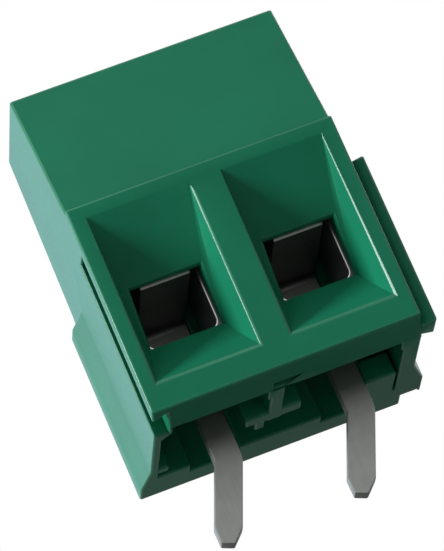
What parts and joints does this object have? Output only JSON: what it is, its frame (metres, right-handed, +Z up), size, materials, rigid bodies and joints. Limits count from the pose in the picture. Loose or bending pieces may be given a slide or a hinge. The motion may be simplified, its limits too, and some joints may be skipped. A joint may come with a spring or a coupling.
{
  "type": "pcb screw terminal",
  "caption": "Screw terminal block for a printed circuit board, with tapered wire entries, rising clamp cages, slotted screws, solder pins and dovetailed sides.",
  "frame": {"origin": "on the board's surface, midway between the two solder pins", "axes": "+Z up from the board, +X along the row of poles, and wires enter from -Y"},
  "size_m": [0.011, 0.0079, 0.0178],
  "materials": {
    "housing": "satin moulded green polyamide",
    "contact": "matt tin plating",
    "cage": "dark plated steel",
    "screw": "zinc-plated steel"
  },
  "bodies": {
    "block": {"housing": "housing", "contact_1": "contact", "contact_2": "contact"},
    "screw_body_1": {"screw_1": "screw"},
    "cage_body_1": {"cage_1": "cage"},
    "screw_body_2": {"screw_2": "screw"},
    "cage_body_2": {"cage_2": "cage"}
  },
  "joints": [
    {"name": "screw_turn_1", "type": "hinge", "parent": "block", "child": "screw_body_1", "pos_m": [-0.00254, 0, 0.0103], "axis": [0, 0, -1], "range_deg": [0, 1440]},
    {"name": "cage_slide_1", "type": "slide", "parent": "block", "child": "cage_body_1", "axis": [0, 0, 1], "range_m": [0, 0.0018]},
    {"name": "screw_turn_2", "type": "hinge", "parent": "block", "child": "screw_body_2", "pos_m": [0.00254, 0, 0.0103], "axis": [0, 0, -1], "range_deg": [0, 1440]},
    {"name": "cage_slide_2", "type": "slide", "parent": "block", "child": "cage_body_2", "axis": [0, 0, 1], "range_m": [0, 0.0018]}
  ],
  "couplings": [
    {"joint": "screw_turn_1", "follows": "cage_slide_1", "rad_per_m": 13963},
    {"joint": "screw_turn_2", "follows": "cage_slide_2", "rad_per_m": 13963}
  ]
}
